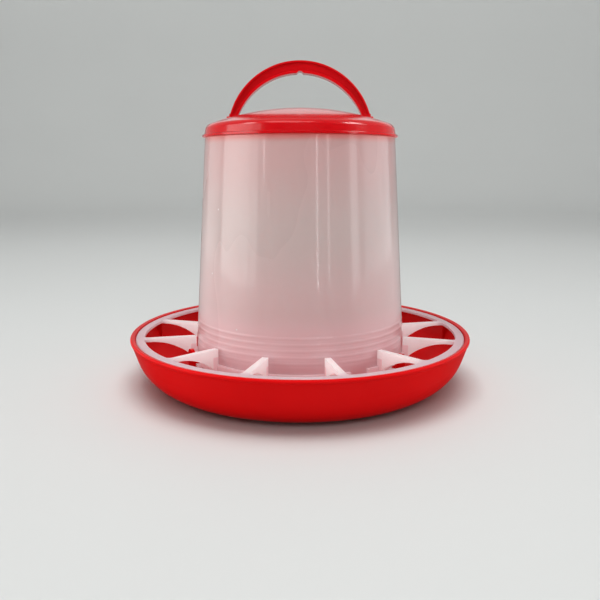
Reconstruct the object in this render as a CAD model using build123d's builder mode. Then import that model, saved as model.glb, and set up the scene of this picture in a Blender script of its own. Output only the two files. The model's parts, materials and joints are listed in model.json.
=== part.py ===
"""Hanging poultry feeder, about 1.5 kg of feed.

A bowl-shaped pan carries a grille with twelve radial fins, which twist-locks under three hook posts
in the pan. A tapered feed barrel stands in the grille's collar and twist-locks under it with three
foot lugs. A domed lid closes the barrel, and an arched carry bail swings in two sockets moulded into
the lid.

Millimetres, +Z up, origin on the axis at the underside of the pan. The front is -Y.
"""

import math
import os

from build123d import *

# ---------------------------------------------------------------- driving sizes
# pan
RIM_R = 120.0  # outside radius of the rim
RIM_Z = 36.1  # top of the rim
RIM_IN_R = 116.6  # inner edge of the rim bead
PAN_T = 1.9  # wall
BASE_R = 85.1  # where the flat base meets the bowl's corner arc
CORNER_R = 32.2  # bowl corner radius, outside
WALL_LOW = (115.6, 22.0)  # end of the corner arc, start of the straight wall
WALL_TOP = (119.3, 33.0)  # top of the straight wall, under the rim
BASE_IN_R = 61.0  # inner edge of the flat base ring
CONE_R = 56.0  # foot of the spreader cone
CONE_TOP_R = 13.0
CONE_TOP_Z = 33.0

# hook posts that stand in the pan
POST_ANGLES = (-155.0, -35.0, 85.0)
POST_HALF = 5.0  # half width along the circle
POST_IN_R = 79.9
POST_OUT_R = 82.3
POST_TOP_Z = 30.3
HOOK_IN_R = 77.0
HOOK_Z = 20.9  # underside of the hook nose
SHELF_IN_R = 71.0
SHELF_Z = 12.9

# grille
FIN_COUNT = 12
FIN_FIRST = 13.25
FIN_T = 4.0
RING_OUT_R = 116.1
RING_IN_R = 110.4
RING_Z0, RING_Z1 = 33.2, 35.2
FIN_FILLET = 3.0
COLLAR_IN_R = 74.28
COLLAR_OUT_R = 76.3
COLLAR_Z0, COLLAR_Z1 = 18.4, 24.6
FIN_IN_R = 74.9  # free inner edge of a fin, above the collar
TAB_OUT_R = 79.4
TAB_HALF = 4.6  # degrees
TAB_Z0, TAB_Z1 = 18.4, 20.5

# barrel
BARREL_T = 1.8
BARREL_Z0 = 13.0
FOOT_R = 74.2
FOOT_Z = 28.2
SHOULDER_R, SHOULDER_Z = 64.9, 169.9
NECK_R = 62.6
NECK_Z = 177.8
BEADS = 5  # soft stiffening beads round the foot
BEAD_Z = 31.1
BEAD_PITCH = 4.0
BEAD_R = 0.13  # how far a bead stands proud
BEAD_HALF = 1.15  # half its height along the wall

# twist lock between barrel and collar
SLOT_ANGLES = (60.0, 180.0, 300.0)  # gaps in the collar where the lugs pass
SLOT_HALF = 5.0  # degrees
LUG_HALF = 4.0  # degrees
LUG_TURN = 20.0  # from a gap to the locked place
LUG_OUT_R = 76.0
LUG_Z0, LUG_Z1 = 14.6, 18.0

# lid
DOME_Z = 190.4
DOME_K = 350.0  # outer dome: z = DOME_Z - r^2 / DOME_K
LID_T = 1.8
LIP_R = 66.5
LIP_Z0, LIP_Z1 = 171.1, 172.3
SKIRT_LOW_R, SKIRT_HIGH_R = 65.2, 64.2
DOME_EDGE_R = 61.2
SKIRT_HIGH_Z = 176.9
SKIRT_IN_R = 63.1
PLUG_OUT_R, PLUG_IN_R = 60.6, 59.2
PLUG_Z = 172.5

# carry bail
PIVOT_Z = 183.5
BAIL_OUT_R, BAIL_OUT_C = 49.8, 171.4  # outer arc radius, and its centre's height
BAIL_IN_R, BAIL_IN_C = 45.9, 167.1  # inner arc
FOOT_IN_X, FOOT_OUT_X = 42.0, 48.1  # across one foot
FLANGE_OUT, FLANGE_IN = 1.2, 1.7  # how deep each flange is, seen from the front
WEB_HALF = 2.1
KNUCKLE_R = 3.3
TRUNNION_R = 1.80
TRUNNION_L = 1.9  # outer pin
TRUNNION_IN_L = 2.4  # inner pin
BORE_R = 1.85
POCKET_GAP = 0.5
BOSS_GAP = 0.9  # between a foot and the inner bearing boss
BOSS_R = 2.9
POCKET_T = 1.5
POCKET_HALF_Y = 11.6


def dome(r, drop=0.0):
    """Height of the lid's dome at radius r, lowered by drop."""
    return DOME_Z - drop - r * r / DOME_K


# ---------------------------------------------------------------- feed pan
with BuildPart() as feed_pan:
    with BuildSketch(Plane.XZ):
        with BuildLine():
            # corner arc, outside: its centre stands over the end of the flat base
            a0 = math.atan2(WALL_LOW[1] - CORNER_R, WALL_LOW[0] - BASE_R)
            mid = (a0 - math.pi / 2) / 2
            ci = CORNER_R - PAN_T
            # outside, from the underside of the cone to the rim
            o0 = (0, CONE_TOP_Z - PAN_T)
            o1 = (CONE_TOP_R - 1.2, CONE_TOP_Z - PAN_T)
            o2 = (CONE_R - 1.4, 0.9)
            o3 = (BASE_IN_R - 2.0, 0.0)
            o4 = (BASE_R, 0.0)
            o5 = WALL_LOW
            o6 = WALL_TOP
            r0 = (RIM_R - 0.1, 34.0)
            r1 = (RIM_R - 1.0, RIM_Z)
            r2 = (RIM_IN_R + 0.8, RIM_Z - 0.35)
            r3 = (RIM_IN_R, RIM_Z - 1.1)
            r4 = (RIM_IN_R, RIM_Z - 2.3)
            r5 = (WALL_TOP[0] - PAN_T - 0.1, 31.8)
            n = (math.cos(a0), math.sin(a0))
            i5 = (BASE_R + ci * n[0], CORNER_R + ci * n[1])
            i4 = (BASE_R, PAN_T)
            i3 = (BASE_IN_R, PAN_T)
            i2 = (CONE_R, PAN_T + 0.7)
            i1 = (CONE_TOP_R, CONE_TOP_Z)
            i0 = (0, CONE_TOP_Z)
            Line(o0, o1)
            Line(o1, o2)
            Line(o2, o3)
            Line(o3, o4)
            ThreePointArc(
                o4,
                (
                    BASE_R + CORNER_R * math.cos(mid),
                    CORNER_R + CORNER_R * math.sin(mid),
                ),
                (BASE_R + CORNER_R * n[0], CORNER_R + CORNER_R * n[1]),
            )
            Line((BASE_R + CORNER_R * n[0], CORNER_R + CORNER_R * n[1]), o6)
            Line(o6, r0)
            ThreePointArc(r0, (RIM_R - 0.25, RIM_Z - 0.45), r1)
            Line(r1, r2)
            ThreePointArc(r2, (RIM_IN_R + 0.22, RIM_Z - 0.58), r3)
            Line(r3, r4)
            Line(r4, r5)
            Line(r5, i5)
            ThreePointArc(
                i5,
                (BASE_R + ci * math.cos(mid), CORNER_R + ci * math.sin(mid)),
                i4,
            )
            Line(i4, i3)
            Line(i3, i2)
            Line(i2, i1)
            Line(i1, i0)
            Line(i0, o0)
        make_face()
    revolve(axis=Axis.Z)
    cone_edges = feed_pan.edges().filter_by(GeomType.CIRCLE).filter_by(
        lambda e: abs(e.radius - CONE_TOP_R) < 0.01
    )
    fillet(cone_edges, radius=9.0)
    under_edges = feed_pan.edges().filter_by(GeomType.CIRCLE).filter_by(
        lambda e: abs(e.radius - CONE_TOP_R + 1.2) < 0.01
    )
    fillet(under_edges, radius=7.5)

    # gussets under the grille ring, on the inside of the wall
    for k in range(FIN_COUNT):
        turn = FIN_FIRST + k * 360.0 / FIN_COUNT
        with BuildSketch(Plane.XZ.rotated((0, 0, turn))):
            with BuildLine():
                Polyline(
                    (112.6, 19.2),
                    (112.6, 33.1),
                    (115.6, 33.1),
                    (117.9, 31.9),
                    (113.7, 20.2),
                    (112.6, 19.2),
                )
            make_face()
        extrude(amount=0.9, both=True)

    # hook posts: finger, inward nose over the grille tab, and a shelf under the barrel's edge
    for turn in POST_ANGLES:
        plane = Plane.XZ.rotated((0, 0, turn))
        c, d = math.cos(math.radians(turn)), math.sin(math.radians(turn))
        upright = Plane(
            origin=(POST_IN_R * c, POST_IN_R * d, 0), x_dir=(-d, c, 0), z_dir=(c, d, 0)
        )
        with BuildSketch(upright):
            with BuildLine():
                Line((-POST_HALF, 0.9), (POST_HALF, 0.9))
                Line((POST_HALF, 0.9), (POST_HALF, POST_TOP_Z - 3.4))
                ThreePointArc(
                    (POST_HALF, POST_TOP_Z - 3.4),
                    (0, POST_TOP_Z),
                    (-POST_HALF, POST_TOP_Z - 3.4),
                )
                Line((-POST_HALF, POST_TOP_Z - 3.4), (-POST_HALF, 0.9))
            make_face()
        extrude(amount=POST_OUT_R - POST_IN_R)
        with BuildSketch(plane):
            with BuildLine():
                Polyline(
                    (POST_IN_R + 0.4, HOOK_Z),
                    (HOOK_IN_R, HOOK_Z),
                    (HOOK_IN_R, HOOK_Z + 0.9),
                    (POST_IN_R + 0.4, HOOK_Z + 2.2),
                    (POST_IN_R + 0.4, HOOK_Z),
                )
            make_face()
        extrude(amount=POST_HALF - 1.0, both=True)
        with BuildSketch(plane):
            with BuildLine():
                Polyline(
                    (SHELF_IN_R, 0.9),
                    (SHELF_IN_R, SHELF_Z),
                    (75.4, SHELF_Z),
                    (76.4, SHELF_Z - 1.2),
                    (POST_IN_R + 0.5, 4.0),
                    (POST_IN_R + 0.5, 0.9),
                    (SHELF_IN_R, 0.9),
                )
            make_face()
        extrude(amount=0.9, both=True)
feed_pan.part.label = "feed_pan"

# ---------------------------------------------------------------- feed grille
with BuildPart() as feed_grille:
    # top plate: ring and spokes, filleted where a spoke meets the ring
    with BuildSketch(Plane.XY.offset(RING_Z0)):
        Circle(RING_OUT_R)
        Circle(RING_IN_R, mode=Mode.SUBTRACT)
        mid_r = (FIN_IN_R + RING_IN_R + 2.0) / 2
        with PolarLocations(mid_r, FIN_COUNT, start_angle=FIN_FIRST):
            Rectangle(RING_IN_R + 2.0 - FIN_IN_R, FIN_T)
    plate = extrude(amount=RING_Z1 - RING_Z0)
    corners = feed_grille.edges().filter_by(Axis.Z).filter_by(
        lambda e: abs(math.hypot(e.center().X, e.center().Y) - RING_IN_R) < 0.3
    )
    fillet(corners, radius=FIN_FILLET)
    rim_edge = feed_grille.edges().filter_by(
        lambda e: e.geom_type == GeomType.CIRCLE
        and abs(e.radius - RING_OUT_R) < 0.05
        and e.bounding_box().min.Z > RING_Z1 - 0.05
    )
    fillet(rim_edge, radius=0.6)

    # fins: deep at the barrel, shallow at the ring, with a bow-shaped lower edge
    for k in range(FIN_COUNT):
        turn = FIN_FIRST + k * 360.0 / FIN_COUNT
        with BuildSketch(Plane.XZ.rotated((0, 0, turn))):
            with BuildLine():
                top = Line((112.2, 33.6), (FIN_IN_R, 33.6))
                Line((FIN_IN_R, 33.6), (FIN_IN_R, COLLAR_Z1 - 0.6))
                Line((FIN_IN_R, COLLAR_Z1 - 0.6), (COLLAR_OUT_R - 0.5, COLLAR_Z1 - 0.6))
                Line((COLLAR_OUT_R - 0.5, COLLAR_Z1 - 0.6), (COLLAR_OUT_R - 0.5, 19.4))
                Spline(
                    (COLLAR_OUT_R - 0.5, 19.4),
                    (79.0, 22.2),
                    (83.4, 25.8),
                    (87.0, 27.9),
                    (90.5, 29.6),
                    (93.8, 30.9),
                    (97.3, 31.9),
                    (101.0, 32.5),
                    (105.0, 32.8),
                    tangents=((1.0, 0.8), (1.0, 0.0)),
                )
                Line((105.0, 32.8), (112.2, 32.8))
                Line((112.2, 32.8), (112.2, 33.6))
            make_face()
        extrude(amount=FIN_T / 2, both=True)

    # collar round the barrel's foot
    with BuildSketch(Plane.XY.offset(COLLAR_Z0)):
        Circle(COLLAR_OUT_R)
        Circle(COLLAR_IN_R, mode=Mode.SUBTRACT)
    extrude(amount=COLLAR_Z1 - COLLAR_Z0)

    # gaps in the collar for the barrel's lugs, and a stop rib at each end of their travel
    mid_collar = (COLLAR_IN_R + COLLAR_OUT_R) / 2
    with BuildSketch(Plane.XY.offset(COLLAR_Z0 - 1.0)):
        for turn in SLOT_ANGLES:
            with PolarLocations(mid_collar, 1, start_angle=turn):
                Rectangle(4.0, 2 * mid_collar * math.sin(math.radians(SLOT_HALF)))
    extrude(amount=COLLAR_Z1 - COLLAR_Z0 + 2.0, mode=Mode.SUBTRACT)
    with BuildSketch(Plane.XY.offset(15.2)):
        for turn in SLOT_ANGLES:
            for stop in (turn - SLOT_HALF - 0.9, turn + LUG_TURN + LUG_HALF + 1.3):
                with PolarLocations(mid_collar - 0.05, 1, start_angle=stop):
                    Rectangle(1.2, 1.8)
    extrude(amount=COLLAR_Z0 - 15.2 + 0.6)

    # three tabs that turn in under the hook noses
    for turn in POST_ANGLES:
        with BuildSketch(Plane.XZ.rotated((0, 0, turn - TAB_HALF))):
            with BuildLine():
                Polyline(
                    (COLLAR_OUT_R - 0.8, TAB_Z0),
                    (TAB_OUT_R - 0.4, TAB_Z0),
                    (TAB_OUT_R, TAB_Z0 + 0.4),
                    (TAB_OUT_R, TAB_Z1),
                    (COLLAR_OUT_R - 0.8, TAB_Z1),
                    (COLLAR_OUT_R - 0.8, TAB_Z0),
                )
            make_face()
        revolve(axis=Axis.Z, revolution_arc=2 * TAB_HALF)
feed_grille.part.label = "feed_grille"

# ---------------------------------------------------------------- feed barrel
TAPER = (SHOULDER_R - FOOT_R) / (SHOULDER_Z - FOOT_Z)


def barrel_r(z):
    """Outside radius of the barrel at height z, without the step beads."""
    return FOOT_R if z < FOOT_Z else FOOT_R + TAPER * (z - FOOT_Z)


with BuildPart() as feed_barrel:
    with BuildSketch(Plane.XZ):
        with BuildLine():
            Line((FOOT_R - BARREL_T, BARREL_Z0), (FOOT_R - 0.5, BARREL_Z0))
            ThreePointArc(
                (FOOT_R - 0.5, BARREL_Z0),
                (FOOT_R - 0.15, BARREL_Z0 + 0.15),
                (FOOT_R, BARREL_Z0 + 0.5),
            )
            Line((FOOT_R, BARREL_Z0 + 0.5), (FOOT_R, FOOT_Z))
            at = (FOOT_R, FOOT_Z)
            for k in range(BEADS):
                zc = BEAD_Z + k * BEAD_PITCH
                low = (barrel_r(zc - BEAD_HALF), zc - BEAD_HALF)
                high = (barrel_r(zc + BEAD_HALF), zc + BEAD_HALF)
                Line(at, low)
                ThreePointArc(low, (barrel_r(zc) + BEAD_R, zc), high)
                at = high
            Line(at, (SHOULDER_R, SHOULDER_Z))
            Line((SHOULDER_R, SHOULDER_Z), (SHOULDER_R - 0.03, SHOULDER_Z + 0.6))
            ThreePointArc(
                (SHOULDER_R - 0.03, SHOULDER_Z + 0.6),
                (SHOULDER_R - 0.15, SHOULDER_Z + 0.88),
                (SHOULDER_R - 0.43, SHOULDER_Z + 1.0),
            )
            Line((SHOULDER_R - 0.43, SHOULDER_Z + 1.0), (NECK_R, SHOULDER_Z + 1.0))
            Line((NECK_R, SHOULDER_Z + 1.0), (NECK_R, NECK_Z - 0.6))
            ThreePointArc(
                (NECK_R, NECK_Z - 0.6),
                (NECK_R - 0.18, NECK_Z - 0.18),
                (NECK_R - 0.6, NECK_Z),
            )
            Line((NECK_R - 0.6, NECK_Z), (NECK_R - BARREL_T, NECK_Z))
            Line(
                (NECK_R - BARREL_T, NECK_Z),
                (NECK_R - BARREL_T, SHOULDER_Z - 0.6),
            )
            Line(
                (NECK_R - BARREL_T, SHOULDER_Z - 0.6),
                (SHOULDER_R - BARREL_T, SHOULDER_Z - 3.0),
            )
            Line(
                (SHOULDER_R - BARREL_T, SHOULDER_Z - 3.0),
                (FOOT_R - BARREL_T, FOOT_Z - 3.0),
            )
            Line((FOOT_R - BARREL_T, FOOT_Z - 3.0), (FOOT_R - BARREL_T, BARREL_Z0))
        make_face()
    revolve(axis=Axis.Z)
    # foot lugs: in their locked place, turned on from the collar's gaps
    for turn in SLOT_ANGLES:
        with BuildSketch(Plane.XZ.rotated((0, 0, turn + LUG_TURN - LUG_HALF))):
            with BuildLine():
                Polyline(
                    (FOOT_R - 0.9, LUG_Z0 - 0.6),
                    (FOOT_R, LUG_Z0 - 0.6),
                    (LUG_OUT_R, LUG_Z0 + 1.2),
                    (LUG_OUT_R, LUG_Z1),
                    (FOOT_R - 0.9, LUG_Z1),
                    (FOOT_R - 0.9, LUG_Z0 - 0.6),
                )
            make_face()
        revolve(axis=Axis.Z, revolution_arc=2 * LUG_HALF)
feed_barrel.part.label = "feed_barrel"

# ---------------------------------------------------------------- lid
POCKET_X0 = FOOT_IN_X - 4.2
POCKET_X1 = FOOT_OUT_X + POCKET_GAP
with BuildPart() as lid:
    # hinge sockets: a boat-shaped trough for each bail foot, walled on the underside and
    # trimmed to stay inside the thickness of the dome
    for side in (-1, 1):
        lo = min(side * (POCKET_X0 - POCKET_T), side * (POCKET_X1 + POCKET_T))
        with BuildSketch(Plane.YZ.offset(lo)):
            with BuildLine():
                Polyline(
                    (-POCKET_HALF_Y - 1.6, 189.0),
                    (-POCKET_HALF_Y - 1.6, 183.0),
                    (-KNUCKLE_R - 2.2, PIVOT_Z - KNUCKLE_R - 2.1),
                    (KNUCKLE_R + 2.2, PIVOT_Z - KNUCKLE_R - 2.1),
                    (POCKET_HALF_Y + 1.6, 183.0),
                    (POCKET_HALF_Y + 1.6, 189.0),
                    (-POCKET_HALF_Y - 1.6, 189.0),
                )
            make_face()
        extrude(amount=POCKET_X1 - POCKET_X0 + 2 * POCKET_T)
    with BuildSketch(Plane.XZ):
        with BuildLine():
            Spline(
                (0, dome(0, 0.9)),
                (20.0, dome(20.0, 0.9)),
                (40.0, dome(40.0, 0.9)),
                (58.0, dome(58.0, 0.9)),
                tangents=((1.0, 0.0), (1.0, -2 * 58.0 / DOME_K)),
            )
            Line((58.0, dome(58.0, 0.9)), (58.0, 200.0))
            Line((58.0, 200.0), (0, 200.0))
            Line((0, 200.0), (0, dome(0, 0.9)))
        make_face()
    revolve(axis=Axis.Z, mode=Mode.SUBTRACT)

    with BuildSketch(Plane.XZ):
        with BuildLine():
            # outside: dome, rounded edge, skirt, lip
            p0 = (0, DOME_Z)
            p1 = (DOME_EDGE_R, dome(DOME_EDGE_R))
            p2 = (SKIRT_HIGH_R, SKIRT_HIGH_Z)
            p3 = (SKIRT_LOW_R, LIP_Z1 + 0.4)
            p4 = (LIP_R, LIP_Z1)
            p5 = (LIP_R, LIP_Z0)
            slope = -2 * DOME_EDGE_R / DOME_K
            Spline(
                p0,
                (DOME_EDGE_R / 3, dome(DOME_EDGE_R / 3)),
                (DOME_EDGE_R * 2 / 3, dome(DOME_EDGE_R * 2 / 3)),
                p1,
                tangents=((1.0, 0.0), (1.0, slope)),
            )
            TangentArc(p1, p2, tangent=(1.0, slope))
            Line(p2, p3)
            Line(p3, p4)
            Line(p4, p5)
            # inside: skirt, seat over the neck, plug ring, dome
            q5 = (SKIRT_IN_R + 0.5, LIP_Z0)
            q4 = (SKIRT_IN_R, LIP_Z0 + 1.0)
            q3 = (SKIRT_IN_R, NECK_Z + 0.1)
            q2 = (PLUG_OUT_R, NECK_Z + 0.1)
            q1 = (PLUG_OUT_R, PLUG_Z)
            q0 = (PLUG_IN_R, PLUG_Z)
            qa = (PLUG_IN_R, dome(PLUG_IN_R, LID_T))
            qb = (0, DOME_Z - LID_T)
            Line(p5, q5)
            Line(q5, q4)
            Line(q4, q3)
            Line(q3, q2)
            Line(q2, q1)
            Line(q1, q0)
            Line(q0, qa)
            Spline(
                qa,
                (PLUG_IN_R * 2 / 3, dome(PLUG_IN_R * 2 / 3, LID_T)),
                (PLUG_IN_R / 3, dome(PLUG_IN_R / 3, LID_T)),
                qb,
                tangents=((-1.0, 2 * PLUG_IN_R / DOME_K), (-1.0, 0.0)),
            )
            Line(qb, p0)
        make_face()
    revolve(axis=Axis.Z)

    # the troughs themselves
    for side in (-1, 1):
        lo = min(side * POCKET_X0, side * POCKET_X1)
        with BuildSketch(Plane.YZ.offset(lo)):
            with BuildLine():
                Polyline(
                    (-POCKET_HALF_Y, 190.0),
                    (-POCKET_HALF_Y, 185.1),
                    (-KNUCKLE_R - 0.5, PIVOT_Z - KNUCKLE_R + 1.0),
                    (-KNUCKLE_R + 0.7, PIVOT_Z - KNUCKLE_R - 0.5),
                    (KNUCKLE_R - 0.7, PIVOT_Z - KNUCKLE_R - 0.5),
                    (KNUCKLE_R + 0.5, PIVOT_Z - KNUCKLE_R + 1.0),
                    (POCKET_HALF_Y, 185.1),
                    (POCKET_HALF_Y, 190.0),
                    (-POCKET_HALF_Y, 190.0),
                )
            make_face()
        extrude(amount=POCKET_X1 - POCKET_X0, mode=Mode.SUBTRACT)
        # inner bearing boss, standing on the socket's floor
        lo = min(side * (FOOT_IN_X - BOSS_GAP - 1.8), side * (FOOT_IN_X - BOSS_GAP))
        with BuildSketch(Plane.YZ.offset(lo)):
            with Locations((0, PIVOT_Z)):
                Circle(BOSS_R)
            with Locations((0, PIVOT_Z - 2.2)):
                Rectangle(2 * BOSS_R, 4.4)
        extrude(amount=1.8)
        # bearing bores through the boss and the outer socket wall
        lo = min(side * (FOOT_IN_X - 3.2), side * (POCKET_X1 + POCKET_T + 1.0))
        with BuildSketch(Plane.YZ.offset(lo)):
            with Locations((0, PIVOT_Z)):
                Circle(BORE_R)
        extrude(amount=POCKET_X1 + POCKET_T + 1.0 - (FOOT_IN_X - 3.2), mode=Mode.SUBTRACT)
lid.part.label = "lid"

# ---------------------------------------------------------------- carry bail
# Heights of the arcs' ends: they run down to the knuckles.
with BuildPart() as carry_bail:

    def crescent(out_r, out_c, in_r, in_c, z_low):
        """Crescent between two arcs in the XZ plane, cut off level at z_low."""
        xo = math.sqrt(out_r**2 - (z_low - out_c) ** 2)
        xi = math.sqrt(in_r**2 - (z_low - in_c) ** 2)
        ThreePointArc((-xo, z_low), (0, out_c + out_r), (xo, z_low))
        Line((xo, z_low), (xi, z_low))
        ThreePointArc((xi, z_low), (0, in_c + in_r), (-xi, z_low))
        Line((-xi, z_low), (-xo, z_low))

    LEG_Z = PIVOT_Z + 0.4
    # inner flange, chamfered along its outer edges
    with BuildSketch(Plane.XZ):
        with BuildLine():
            crescent(BAIL_IN_R + FLANGE_IN, BAIL_IN_C, BAIL_IN_R, BAIL_IN_C, LEG_Z)
        make_face()
    extrude(amount=4.8, both=True)
    flange_edges = carry_bail.edges().filter_by(
        lambda e: e.geom_type == GeomType.CIRCLE
        and abs(e.radius - BAIL_IN_R - FLANGE_IN) < 0.01
    )
    chamfer(flange_edges, length=0.45)
    # web
    with BuildSketch(Plane.XZ):
        with BuildLine():
            crescent(BAIL_OUT_R, BAIL_OUT_C, BAIL_IN_R, BAIL_IN_C, LEG_Z)
        make_face()
    extrude(amount=WEB_HALF, both=True)
    # outer flange
    with BuildSketch(Plane.XZ):
        with BuildLine():
            crescent(BAIL_OUT_R, BAIL_OUT_C, BAIL_OUT_R - FLANGE_OUT, BAIL_OUT_C, LEG_Z)
        make_face()
    extrude(amount=4.2, both=True)
    # side taper: the bail narrows towards its feet
    for side in (-1, 1):
        with BuildSketch(Plane.YZ.offset(-60)):
            with BuildLine():
                Polyline(
                    (side * 3.0, 180.0),
                    (side * 3.0, 187.0),
                    (side * 5.0, 205.0),
                    (side * 5.4, 224.0),
                    (side * 9.0, 224.0),
                    (side * 9.0, 180.0),
                    (side * 3.0, 180.0),
                )
            make_face()
        extrude(amount=120, mode=Mode.SUBTRACT)
    # hanging notch under the crown
    with BuildSketch(Plane.XZ):
        with BuildLine():
            zc = BAIL_IN_C + BAIL_IN_R
            Polyline(
                (-2.9, zc - 0.6),
                (-0.8, zc + 1.3),
                (0.8, zc + 1.3),
                (2.9, zc - 0.6),
                (-2.9, zc - 0.6),
            )
        make_face()
    extrude(amount=8.0, both=True, mode=Mode.SUBTRACT)
    # knuckles and trunnion pins
    for side in (-1, 1):
        lo = min(side * FOOT_IN_X, side * FOOT_OUT_X)
        with BuildSketch(Plane.YZ.offset(lo)):
            with Locations((0, PIVOT_Z)):
                Circle(KNUCKLE_R)
            with Locations((0, PIVOT_Z + 1.6)):
                Rectangle(5.9, 3.2)
        extrude(amount=FOOT_OUT_X - FOOT_IN_X)
        pin = min(side * (FOOT_IN_X - TRUNNION_IN_L), side * (FOOT_OUT_X + TRUNNION_L))
        with BuildSketch(Plane.YZ.offset(pin)):
            with Locations((0, PIVOT_Z)):
                Circle(TRUNNION_R)
        extrude(amount=FOOT_OUT_X - FOOT_IN_X + TRUNNION_L + TRUNNION_IN_L)
carry_bail.part.label = "carry_bail"

# ---------------------------------------------------------------- export
os.makedirs("parts", exist_ok=True)
for piece in (feed_pan, feed_grille, feed_barrel, lid, carry_bail):
    export_step(piece.part, "parts/" + piece.part.label + ".step")
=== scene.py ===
"""Studio scene of the hanging poultry feeder. Metres, +Z up, front is -Y, same frame as the CAD."""

import json
import math

import bmesh
import bpy
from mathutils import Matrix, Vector

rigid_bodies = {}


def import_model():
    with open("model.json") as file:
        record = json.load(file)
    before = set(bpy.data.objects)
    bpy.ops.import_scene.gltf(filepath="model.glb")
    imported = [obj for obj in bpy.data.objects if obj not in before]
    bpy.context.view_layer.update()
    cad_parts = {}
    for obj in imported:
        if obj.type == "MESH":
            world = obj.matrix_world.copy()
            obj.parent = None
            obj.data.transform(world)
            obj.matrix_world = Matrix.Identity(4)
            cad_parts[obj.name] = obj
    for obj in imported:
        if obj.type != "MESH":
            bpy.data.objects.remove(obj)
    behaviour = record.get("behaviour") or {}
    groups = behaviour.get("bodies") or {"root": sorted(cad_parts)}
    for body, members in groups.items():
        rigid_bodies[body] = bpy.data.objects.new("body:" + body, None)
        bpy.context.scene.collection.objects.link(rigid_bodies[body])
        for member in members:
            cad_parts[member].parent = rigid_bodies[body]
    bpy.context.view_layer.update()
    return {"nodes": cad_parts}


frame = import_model()
NODES = frame["nodes"]


# ------------------------------------------------------------------ node helpers
def new_material(name):
    mat = bpy.data.materials.new(name)
    mat.use_nodes = True
    nt = mat.node_tree
    nt.nodes.clear()
    out = nt.nodes.new("ShaderNodeOutputMaterial")
    return mat, nt, out


def node(nt, kind, **sets):
    n = nt.nodes.new(kind)
    for key, value in sets.items():
        if key.startswith("in_"):
            n.inputs[key[3:].replace("_", " ")].default_value = value
        else:
            setattr(n, key, value)
    return n


def link(nt, a, out, b, inp):
    nt.links.new(a.outputs[out], b.inputs[inp])


def noise(nt, coord, scale, detail=3.0, rough=0.5, stretch=(1, 1, 1)):
    m = node(nt, "ShaderNodeMapping")
    m.inputs["Scale"].default_value = stretch
    link(nt, coord, "Object", m, "Vector")
    n = node(nt, "ShaderNodeTexNoise", in_Scale=scale, in_Detail=detail, in_Roughness=rough)
    link(nt, m, "Vector", n, "Vector")
    return n


def ramp(nt, src, out, stops, interpolation="LINEAR"):
    r = node(nt, "ShaderNodeValToRGB")
    r.color_ramp.interpolation = interpolation
    el = r.color_ramp.elements
    while len(el) < len(stops):
        el.new(0.5)
    for e, (p, c) in zip(el, stops):
        e.position = p
        e.color = c if len(c) == 4 else (*c, 1.0)
    link(nt, src, out, r, "Fac")
    return r


def remap(nt, src, out, a, b, c, d):
    m = node(nt, "ShaderNodeMapRange")
    m.inputs["From Min"].default_value = a
    m.inputs["From Max"].default_value = b
    m.inputs["To Min"].default_value = c
    m.inputs["To Max"].default_value = d
    link(nt, src, out, m, "Value")
    return m


def bumps(nt, coord, layers, edge=0.0004):
    """Chains bump layers (noise node, output, strength, distance) over a rounded-edge normal."""
    last = node(nt, "ShaderNodeBevel", samples=4)
    last.inputs["Radius"].default_value = edge
    for src, out, strength, distance in layers:
        b = node(nt, "ShaderNodeBump", in_Strength=strength, in_Distance=distance)
        link(nt, src, out, b, "Height")
        link(nt, last, "Normal", b, "Normal")
        last = b
    return last


def scratches(nt, coord, scale, turn, thin=0.055, many=0.56):
    """Sparse short scratches: long thin cells of a stretched, turned cell texture, thinned out by a noise."""
    m = node(nt, "ShaderNodeMapping")
    m.inputs["Rotation"].default_value = (0.4, turn, 0.3)
    m.inputs["Scale"].default_value = (1.0, 1.0, 0.07)
    link(nt, coord, "Object", m, "Vector")
    v = node(nt, "ShaderNodeTexVoronoi", in_Scale=scale)
    link(nt, m, "Vector", v, "Vector")
    line = ramp(nt, v, "Distance", [(0.0, (1, 1, 1)), (thin, (0.6, 0.6, 0.6)), (thin * 1.6, (0, 0, 0))])
    keep = ramp(nt, noise(nt, coord, 17.0, 1.0, 0.5), "Fac", [(many, (0, 0, 0)), (many + 0.03, (1, 1, 1))])
    out = node(nt, "ShaderNodeMath", operation="MULTIPLY")
    link(nt, line, "Color", out, 0)
    link(nt, keep, "Color", out, 1)
    return out


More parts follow.
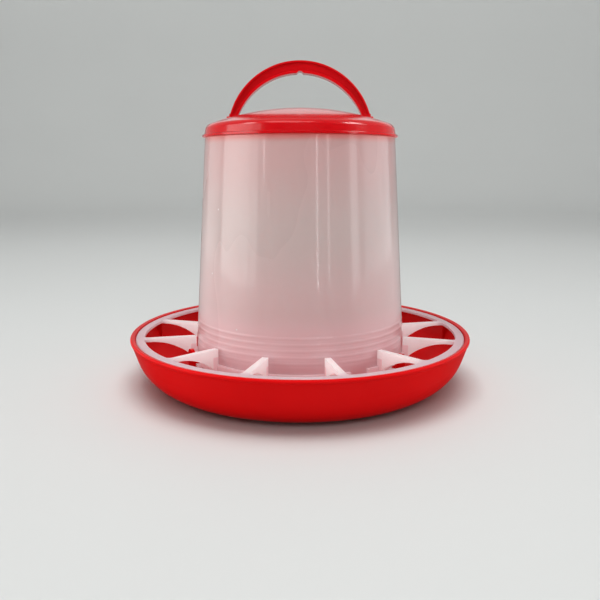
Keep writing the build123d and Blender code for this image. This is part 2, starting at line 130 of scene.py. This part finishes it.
# ------------------------------------------------------------------ materials
def red_plastic(name, base, deep, rough, wave, spec, coat, glow_up_painted=0.0, glow_under_painted=0.0):
    """Glossy moulded polypropylene: slight flow marks, fine grain, handling scuffs."""
    mat, nt, out = new_material(name)
    tc = node(nt, "ShaderNodeTexCoord")
    cloud = noise(nt, tc, 14.0, 3.0, 0.55)
    grain = noise(nt, tc, 1800.0, 2.0, 0.6)
    flow = noise(nt, tc, 26.0, 2.0, 0.4, (1.0, 1.0, 0.35))
    scuff = scratches(nt, tc, 90.0, 1.1)
    colour = ramp(nt, cloud, "Fac", [(0.3, deep), (0.7, base)])
    p = node(nt, "ShaderNodeBsdfPrincipled")
    link(nt, colour, "Color", p, "Base Color")
    r1 = remap(nt, cloud, "Fac", 0.3, 0.7, rough * 0.85, rough * 1.2)
    add = node(nt, "ShaderNodeMath", operation="MULTIPLY_ADD", use_clamp=True)
    link(nt, scuff, "Value", add, 0)
    add.inputs[1].default_value = 0.10
    link(nt, r1, "Result", add, 2)
    link(nt, add, "Value", p, "Roughness")
    p.inputs["IOR"].default_value = 1.49
    geo = node(nt, "ShaderNodeNewGeometry")
    up = node(nt, "ShaderNodeSeparateXYZ")
    link(nt, geo, "Normal", up, "Vector")
    level = remap(nt, up, "Z", 0.90, 0.975, spec, max(spec, 0.42))
    link(nt, level, "Result", p, "Specular IOR Level")
    # painted glow (emission) on surfaces facing up, or down under a lip, standing in for light that comes through the
    # wall
    p.inputs["Emission Color"].default_value = (1.0, 0.02, 0.024, 1)
    passed = remap(nt, up, "Z", 0.1, 0.6, 0.0, glow_up_painted)
    beneath = remap(nt, up, "Z", -0.2, -0.7, 0.0, glow_under_painted)
    painted_glow_total = node(nt, "ShaderNodeMath", operation="ADD")
    link(nt, passed, "Result", painted_glow_total, 0)
    link(nt, beneath, "Result", painted_glow_total, 1)
    link(nt, painted_glow_total, "Value", p, "Emission Strength")
    p.inputs["Subsurface Weight"].default_value = 0.12
    p.inputs["Subsurface Radius"].default_value = (0.004, 0.0006, 0.0004)
    p.inputs["Subsurface Scale"].default_value = 1.0
    p.inputs["Coat Weight"].default_value = coat
    p.inputs["Coat Roughness"].default_value = 0.10
    nrm = bumps(
        nt,
        tc,
        [(flow, "Fac", 0.25, wave), (grain, "Fac", 0.08, 0.00003)],
    )
    link(nt, nrm, "Normal", p, "Normal")
    link(nt, p, "BSDF", out, "Surface")
    return mat


def white_plastic(name):
    """Satin white polypropylene, partly translucent, with painted shade in the corners, a painted red bounce on the
    ring and collar, and a painted glow on the fins.
    """
    mat, nt, out = new_material(name)
    tc = node(nt, "ShaderNodeTexCoord")
    cloud = noise(nt, tc, 22.0, 3.0, 0.55)
    grain = noise(nt, tc, 1500.0, 2.0, 0.6)
    colour = ramp(nt, cloud, "Fac", [(0.3, (0.97, 0.925, 0.93)), (0.7, (0.99, 0.955, 0.96))])
    # painted shade: darker and pinker in the corners, masked by ambient occlusion
    ao = node(nt, "ShaderNodeAmbientOcclusion", samples=6)
    ao.inputs["Distance"].default_value = 0.006
    corner_painted_shade = node(nt, "ShaderNodeMix", data_type="RGBA")
    link(nt, ao, "AO", corner_painted_shade, 0)
    corner_painted_shade.inputs[6].default_value = (0.88, 0.78, 0.77, 1)
    link(nt, colour, "Color", corner_painted_shade, 7)
    # the fins are pale and light passes through them; painted red bounce light tints the ring pink, as if lit by the
    # red pan
    flat = node(nt, "ShaderNodeMapping")
    flat.inputs["Scale"].default_value = (1.0, 1.0, 0.0)
    link(nt, tc, "Object", flat, "Vector")
    reach = node(nt, "ShaderNodeVectorMath", operation="LENGTH")
    link(nt, flat, "Vector", reach, 0)
    ring = remap(nt, reach, "Value", 0.104, 0.111, 0.0, 1.0)
    ring_painted_red_bounce = node(nt, "ShaderNodeMix", data_type="RGBA", blend_type="MULTIPLY")
    link(nt, ring, "Result", ring_painted_red_bounce, 0)
    link(nt, corner_painted_shade, 2, ring_painted_red_bounce, 6)
    ring_painted_red_bounce.inputs[7].default_value = (0.95, 0.82, 0.88, 1)
    # painted red light and shade on the low collar round the barrel's foot, standing in for light from the pan
    where = node(nt, "ShaderNodeSeparateXYZ")
    link(nt, tc, "Object", where, "Vector")
    inner = remap(nt, reach, "Value", 0.0785, 0.0795, 1.0, 0.0)
    below = remap(nt, where, "Z", 0.0295, 0.0305, 1.0, 0.0)
    collar = node(nt, "ShaderNodeMath", operation="MULTIPLY")
    link(nt, inner, "Result", collar, 0)
    link(nt, below, "Result", collar, 1)
    collar_painted_red = node(nt, "ShaderNodeMix", data_type="RGBA")
    link(nt, collar, "Value", collar_painted_red, 0)
    link(nt, ring_painted_red_bounce, 2, collar_painted_red, 6)
    collar_painted_red.inputs[7].default_value = (0.82, 0.50, 0.53, 1)
    p = node(nt, "ShaderNodeBsdfPrincipled")
    link(nt, collar_painted_red, 2, p, "Base Color")
    # painted glow on the fins: emission that fades out towards the ring, standing in for light passing through them
    p.inputs["Emission Color"].default_value = (1.0, 0.96, 0.965, 1)
    fin_painted_glow = remap(nt, reach, "Value", 0.104, 0.111, 0.13, 0.0)
    link(nt, fin_painted_glow, "Result", p, "Emission Strength")
    r1 = remap(nt, cloud, "Fac", 0.3, 0.7, 0.30, 0.42)
    link(nt, r1, "Result", p, "Roughness")
    p.inputs["IOR"].default_value = 1.5
    p.inputs["Subsurface Weight"].default_value = 0.5
    p.inputs["Subsurface Radius"].default_value = (0.004, 0.003, 0.003)
    p.inputs["Subsurface Scale"].default_value = 1.0
    nrm = bumps(nt, tc, [(cloud, "Fac", 0.15, 0.0002), (grain, "Fac", 0.06, 0.00003)], 0.00035)
    link(nt, nrm, "Normal", p, "Normal")
    tr = node(nt, "ShaderNodeBsdfTranslucent")
    tr.inputs["Color"].default_value = (0.99, 0.95, 0.955, 1)
    mix = node(nt, "ShaderNodeMixShader")
    mix.inputs[0].default_value = 0.40
    link(nt, p, "BSDF", mix, 1)
    link(nt, tr, "BSDF", mix, 2)
    link(nt, mix, "Shader", out, "Surface")
    return mat


def milky_plastic(name):
    """Milky translucent barrel: light scatters through the wall, long faint draw lines, specks and fine scratches;
    painted red light by height and a painted light rim where the wall is seen edge-on.
    """
    mat, nt, out = new_material(name)
    tc = node(nt, "ShaderNodeTexCoord")
    sep = node(nt, "ShaderNodeSeparateXYZ")
    link(nt, tc, "Object", sep, "Vector")
    # painted light: pinker towards the foot from the red pan, and a red band just under the lid's lip from the red
    # lid
    height_painted_light = ramp(
        nt,
        remap(nt, sep, "Z", 0.0, 0.18, 0.0, 1.0),
        "Result",
        [
            (0.15, (0.98, 0.67, 0.71)),
            (0.25, (0.91, 0.60, 0.62)),
            (0.36, (0.76, 0.545, 0.540)),
            (0.62, (0.66, 0.540, 0.520)),
            (0.92, (0.70, 0.465, 0.455)),
            (0.948, (0.84, 0.23, 0.21)),
            (0.960, (0.84, 0.23, 0.21)),
            (0.972, (0.76, 0.58, 0.57)),
        ],
        "EASE",
    )
    cloud = noise(nt, tc, 9.0, 3.0, 0.5, (1, 1, 0.5))
    draw = noise(nt, tc, 120.0, 2.0, 0.5, (1, 1, 0.03))
    grain = noise(nt, tc, 1600.0, 2.0, 0.6)
    fine = scratches(nt, tc, 75.0, 0.75)
    speck = node(nt, "ShaderNodeTexVoronoi", in_Scale=70.0)
    link(nt, tc, "Object", speck, "Vector")
    dots = ramp(nt, speck, "Distance", [(0.0, (1, 1, 1)), (0.035, (1, 1, 1)), (0.05, (0, 0, 0))])
    keep = ramp(
        nt,
        noise(nt, tc, 31.0, 1.0, 0.5),
        "Fac",
        [(0.60, (0, 0, 0)), (0.62, (1, 1, 1))],
    )
    spots = node(nt, "ShaderNodeMath", operation="MULTIPLY")
    link(nt, dots, "Color", spots, 0)
    link(nt, keep, "Color", spots, 1)
    # colour: painted red light by height, varied by a cloudy tone; specks slightly paler
    vary = node(nt, "ShaderNodeMix", data_type="RGBA", blend_type="MULTIPLY")
    vary.inputs[0].default_value = 0.5
    link(nt, height_painted_light, "Color", vary, 6)
    shade = ramp(nt, cloud, "Fac", [(0.3, (0.93, 0.91, 0.91)), (0.7, (1, 1, 1))])
    link(nt, shade, "Color", vary, 7)
    pale = node(nt, "ShaderNodeMix", data_type="RGBA")
    link(nt, spots, "Value", pale, 0)
    link(nt, vary, 2, pale, 6)
    pale.inputs[7].default_value = (0.93, 0.88, 0.88, 1)
    # painted highlight: the wall is lighter where it is seen edge-on
    face = node(nt, "ShaderNodeLayerWeight", in_Blend=0.5)
    edge_painted_light = ramp(nt, face, "Facing", [(0.70, (0, 0, 0)), (0.90, (0.30, 0.30, 0.30)), (1.0, (0.45, 0.45, 0.45))])
    glow = node(nt, "ShaderNodeMix", data_type="RGBA")
    link(nt, edge_painted_light, "Color", glow, 0)
    link(nt, pale, 2, glow, 6)
    glow.inputs[7].default_value = (0.93, 0.87, 0.86, 1)
    p = node(nt, "ShaderNodeBsdfPrincipled")
    link(nt, glow, 2, p, "Base Color")
    r1 = remap(nt, cloud, "Fac", 0.3, 0.7, 0.24, 0.32)
    radd = node(nt, "ShaderNodeMath", operation="MULTIPLY_ADD", use_clamp=True)
    link(nt, fine, "Value", radd, 0)
    radd.inputs[1].default_value = 0.25
    link(nt, r1, "Result", radd, 2)
    link(nt, radd, "Value", p, "Roughness")
    p.inputs["IOR"].default_value = 1.5
    p.inputs["Subsurface Weight"].default_value = 0.30
    p.inputs["Subsurface Radius"].default_value = (0.010, 0.006, 0.006)
    p.inputs["Subsurface Scale"].default_value = 1.0
    p.inputs["Coat Weight"].default_value = 0.8
    p.inputs["Coat Roughness"].default_value = 0.07
    nrm = bumps(
        nt,
        tc,
        [
            (draw, "Fac", 0.05, 0.0003),
            (fine, "Value", 0.5, 0.00008),
            (spots, "Value", 0.4, 0.0001),
            (grain, "Fac", 0.04, 0.00002),
        ],
        0.0003,
    )
    link(nt, nrm, "Normal", p, "Normal")
    tr = node(nt, "ShaderNodeBsdfTranslucent")
    tr.inputs["Color"].default_value = (0.86, 0.70, 0.69, 1)
    mix = node(nt, "ShaderNodeMixShader")
    mix.inputs[0].default_value = 0.30
    link(nt, p, "BSDF", mix, 1)
    link(nt, tr, "BSDF", mix, 2)
    link(nt, mix, "Shader", out, "Surface")
    return mat


def matte_floor(name, colour):
    mat, nt, out = new_material(name)
    tc = node(nt, "ShaderNodeTexCoord")
    cloud = noise(nt, tc, 3.0, 2.0, 0.5)
    c = ramp(nt, cloud, "Fac", [(0.3, tuple(x * 0.985 for x in colour)), (0.7, colour)])
    p = node(nt, "ShaderNodeBsdfPrincipled")
    p.inputs["Roughness"].default_value = 0.75
    link(nt, c, "Color", p, "Base Color")
    link(nt, p, "BSDF", out, "Surface")
    return mat


MATS = {
    "feed_pan": red_plastic("pan_red", (0.64, 0.0025, 0.003), (0.59, 0.002, 0.0025), 0.38, 0.00015, 0.07, 0.0, 0.09),
    "feed_grille": white_plastic("grille_white"),
    "feed_barrel": milky_plastic("barrel_milky"),
    "lid": red_plastic("lid_red", (0.53, 0.002, 0.005), (0.49, 0.0018, 0.0045), 0.20, 0.00006, 0.26, 0.42, 0.0, 0.35),
    "carry_bail": red_plastic("bail_red", (0.66, 0.0015, 0.006), (0.60, 0.0015, 0.005), 0.24, 0.00012, 0.18, 0.45),
}
for name, obj in NODES.items():
    for s in obj.material_slots:
        s.material = MATS[name]

# ------------------------------------------------------------------ stage
bm = bmesh.new()
profile = [(0.0, 0.0), (0.6, 0.0), (1.2, 0.0), (2.0, 0.0)]
for k in range(1, 17):
    a = math.radians(90.0 * k / 16)
    profile.append((2.0 + 0.7 * math.sin(a), 0.7 - 0.7 * math.cos(a)))
profile.append((2.7, 2.6))
SEG = 96
centre = bm.verts.new((0, 0, 0))
rings = [
    [
        bm.verts.new((r * math.cos(2 * math.pi * k / SEG), r * math.sin(2 * math.pi * k / SEG), z))
        for k in range(SEG)
    ]
    for r, z in profile[1:]
]
for k in range(SEG):
    bm.faces.new((centre, rings[0][k], rings[0][(k + 1) % SEG]))
for low, high in zip(rings, rings[1:]):
    for k in range(SEG):
        n = (k + 1) % SEG
        bm.faces.new((low[k], high[k], high[n], low[n]))
mesh = bpy.data.meshes.new("floor")
bm.to_mesh(mesh)
bm.free()
floor = bpy.data.objects.new("floor", mesh)
bpy.context.scene.collection.objects.link(floor)
for poly in mesh.polygons:
    poly.use_smooth = True
mesh.materials.append(matte_floor("floor_pale", (0.66, 0.67, 0.66)))
floor.visible_glossy = False


def area(name, at, look, size, power, colour=(1, 1, 1)):
    data = bpy.data.lights.new(name, "AREA")
    data.shape = "RECTANGLE"
    data.size, data.size_y = size
    data.energy = power
    data.color = colour
    o = bpy.data.objects.new(name, data)
    bpy.context.scene.collection.objects.link(o)
    o.location = at
    o.rotation_euler = (Vector(look) - Vector(at)).to_track_quat("-Z", "Y").to_euler()
    return o


def panel(name, azimuth, dist, width, z0, z1, power, colour=(1, 1, 1)):
    """Upright softbox at an azimuth from the front, positive to the right; power per square metre."""
    t = math.radians(azimuth)
    at = (dist * math.sin(t), -dist * math.cos(t), (z0 + z1) / 2)
    o = area(name, at, (0, 0, at[2]), (width, z1 - z0), power * width * (z1 - z0) / 1.45, colour)
    o.data.spread = math.radians(150)
    return o


panel("left_wide", -77, 1.15, 0.82, 0.0, 1.15, 8.4, (1.0, 0.985, 0.965))
panel("left_near", -52, 1.25, 0.20, 0.0, 1.10, 6.0, (1.0, 0.985, 0.97))
panel("left_back", -118, 1.20, 0.60, 0.0, 1.10, 2.6, (1.0, 0.985, 0.97))
panel("left_strip", -40.5, 1.10, 0.02, 0.25, 0.60, 34.0)
panel("right_window", 62, 1.20, 0.20, 0.0, 0.55, 7.5, (0.98, 0.99, 1.0))
panel("right_wide", 100, 1.20, 1.10, 0.0, 0.95, 4.0, (0.97, 0.985, 1.0))
panel("strip_a", 18.5, 1.15, 0.020, 0.02, 1.15, 34.0)
panel("strip_b", 31.0, 1.15, 0.018, 0.02, 1.15, 24.0)
area("top", (-0.15, -0.35, 1.35), (0, 0, 0.1), (0.9, 0.28), 2.0)
area("top_soft", (0.0, -0.30, 1.35), (0, 0, 0.1), (0.9, 0.6), 3.4)
area("front_high", (0.1, -1.15, 0.95), (0, 0, 0.06), (0.9, 0.4), 3.2)
area("high_back", (0.0, 1.25, 0.72), (0, 0, 0.2), (1.7, 0.35), 0.9)
area("right_high", (0.80, -0.10, 0.86), (0.05, -0.02, 0.18), (0.28, 0.55), 4.8)
area("left_high", (-0.80, -0.15, 0.86), (-0.05, -0.02, 0.18), (0.20, 0.50), 2.0)
area("low_left", (-1.0, -0.45, 0.22), (-0.06, 0, 0.03), (0.5, 0.3), 1.9)
area("low_right", (1.0, -0.45, 0.22), (0.06, 0, 0.03), (0.5, 0.3), 2.2)
area("backdrop", (0.0, 1.45, 1.15), (0, 2.7, 0.80), (2.4, 0.3), 5.6)
area("floor_wash", (0, 0, 2.3), (0, 0, 0), (1.6, 1.6), 19.0)


def group(name, members, state):
    """Collection of the objects that a light shines on, or is kept off."""
    c = bpy.data.collections.new(name)
    for k, o in enumerate(members):
        c.objects.link(o)
        c.collection_objects[k].light_linking.link_state = state
    return c


shaded = group("not_on_lid_and_floor", [NODES["lid"], floor], "EXCLUDE")
raised = group("not_on_floor", [floor], "EXCLUDE")
polished = group("only_the_lid", [NODES["lid"]], "INCLUDE")
ground = group("only_the_floor", [floor], "INCLUDE")
for o in bpy.context.scene.objects:
    if o.type == "LIGHT":
        o.visible_camera = False
        if o.name in ("front_high", "backdrop", "top_soft", "low_left", "low_right"):
            o.visible_glossy = False
        if o.name in ("left_back", "right_wide", "left_strip", "strip_a", "strip_b"):
            # these shape the barrel and are kept off the polished lid
            o.light_linking.receiver_collection = shaded
        if o.name in ("left_wide", "left_near", "right_window", "low_left", "low_right"):
            o.light_linking.receiver_collection = raised
        if o.name in ("left_high", "right_high"):
            o.light_linking.receiver_collection = polished
        if o.name == "floor_wash":
            o.light_linking.receiver_collection = ground

world = bpy.data.worlds.new("studio")
bpy.context.scene.world = world
world.use_nodes = True
wt = world.node_tree
bg = wt.nodes["Background"]
bg.inputs["Color"].default_value = (0.78, 0.80, 0.80, 1)
bg.inputs["Strength"].default_value = 0.46
# what polished surfaces mirror: dark behind the camera, grey at the sides, paler at the back
mirror = node(wt, "ShaderNodeBackground")
mirror.inputs["Color"].default_value = (1.0, 1.0, 0.99, 1)
way = node(wt, "ShaderNodeSeparateXYZ")
link(wt, node(wt, "ShaderNodeTexCoord"), "Generated", way, "Vector")
depth = ramp(
    wt,
    remap(wt, way, "Y", -1.0, 1.0, 0.0, 1.0),
    "Result",
    [(0.0, (0.02,) * 3), (0.30, (0.06,) * 3), (0.5, (0.22,) * 3), (0.95, (0.42,) * 3), (0.978, (0.26,) * 3), (0.996, (0.46,) * 3)],
)
height = ramp(
    wt,
    remap(wt, way, "Z", -1.0, 1.0, 0.0, 1.0),
    "Result",
    [(0.25, (0.10,) * 3), (0.38, (0.9,) * 3), (0.47, (1.0,) * 3)],
)
both = node(wt, "ShaderNodeMath", operation="MULTIPLY")
link(wt, depth, "Color", both, 0)
link(wt, height, "Color", both, 1)
flank = ramp(
    wt,
    remap(wt, way, "Y", -1.0, 1.0, 0.0, 1.0),
    "Result",
    [(0.15, (0.0,) * 3), (0.40, (1.0,) * 3), (0.80, (1.0,) * 3), (0.97, (0.0,) * 3)],
)
low = ramp(
    wt,
    remap(wt, way, "Z", -1.0, 1.0, 0.0, 1.0),
    "Result",
    [(0.38, (0.0,) * 3), (0.42, (0.75,) * 3), (0.46, (0.75,) * 3), (0.49, (0.0,) * 3)],
)
gain = node(wt, "ShaderNodeMath", operation="MULTIPLY_ADD")
link(wt, flank, "Color", gain, 0)
link(wt, low, "Color", gain, 1)
link(wt, both, "Value", gain, 2)
link(wt, gain, "Value", mirror, "Strength")
rays = node(wt, "ShaderNodeLightPath")
pick = node(wt, "ShaderNodeMixShader")
link(wt, rays, "Is Glossy Ray", pick, 0)
link(wt, bg, "Background", pick, 1)
link(wt, mirror, "Background", pick, 2)
link(wt, pick, "Shader", wt.nodes["World Output"], "Surface")

scene = bpy.context.scene
scene.view_settings.view_transform = "Standard"
scene.view_settings.look = "None"

cam = bpy.data.cameras.new("camera")
cam.lens = 39.6
cam.sensor_width = 36.0
cam.clip_start = 0.01
camera = bpy.data.objects.new("camera", cam)
scene.collection.objects.link(camera)
camera.location = (0.0, -0.4673, 0.1514)
camera.rotation_euler = (math.radians(78.6), 0.0, 0.0)
scene.camera = camera
